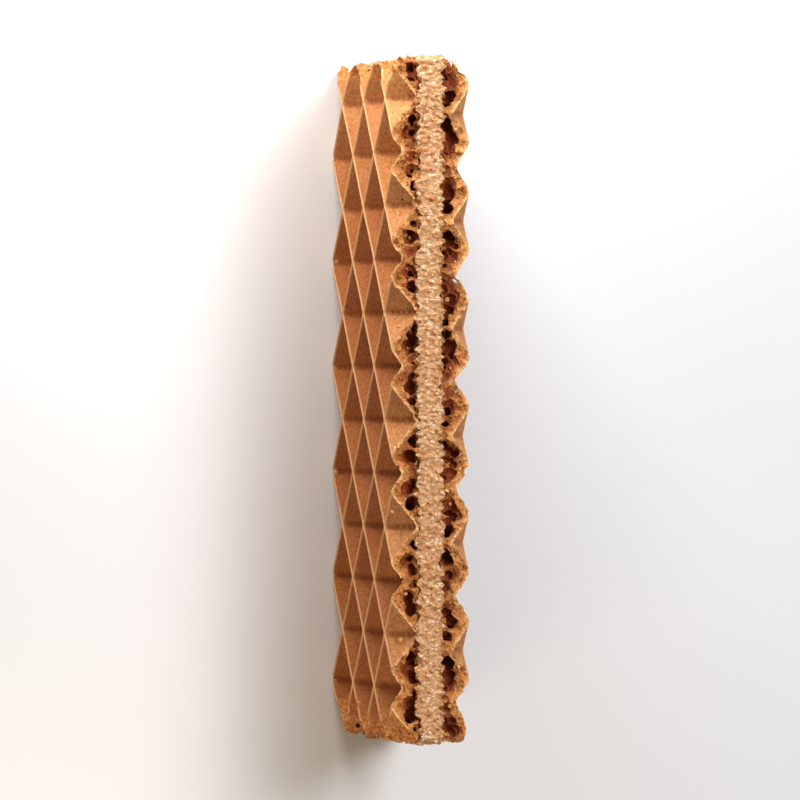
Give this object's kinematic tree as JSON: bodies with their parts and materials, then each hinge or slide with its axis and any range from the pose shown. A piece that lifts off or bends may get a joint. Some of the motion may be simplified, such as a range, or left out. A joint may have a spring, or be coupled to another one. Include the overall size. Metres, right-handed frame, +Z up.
{
  "type": "waffle cookie",
  "caption": "Oblong sandwich cookie of thin, crisp waffle wafers with a deep diagonal lattice and a layer of crumbly cream between them; the narrow sides are cut through.",
  "frame": {"origin": "under the cookie's middle, on the surface that its long cut edge stands on", "axes": "+X along the length, +Y through the layers from wafer_front to wafer_back, +Z up the cut height"},
  "size_m": [0.095, 0.011, 0.0398],
  "materials": {
    "baked_wafer": "matte",
    "cream_filling": "matte"
  },
  "bodies": {
    "root": {"wafer_front": "baked_wafer", "cream": "cream_filling", "wafer_back": "baked_wafer"}
  },
  "joints": []
}
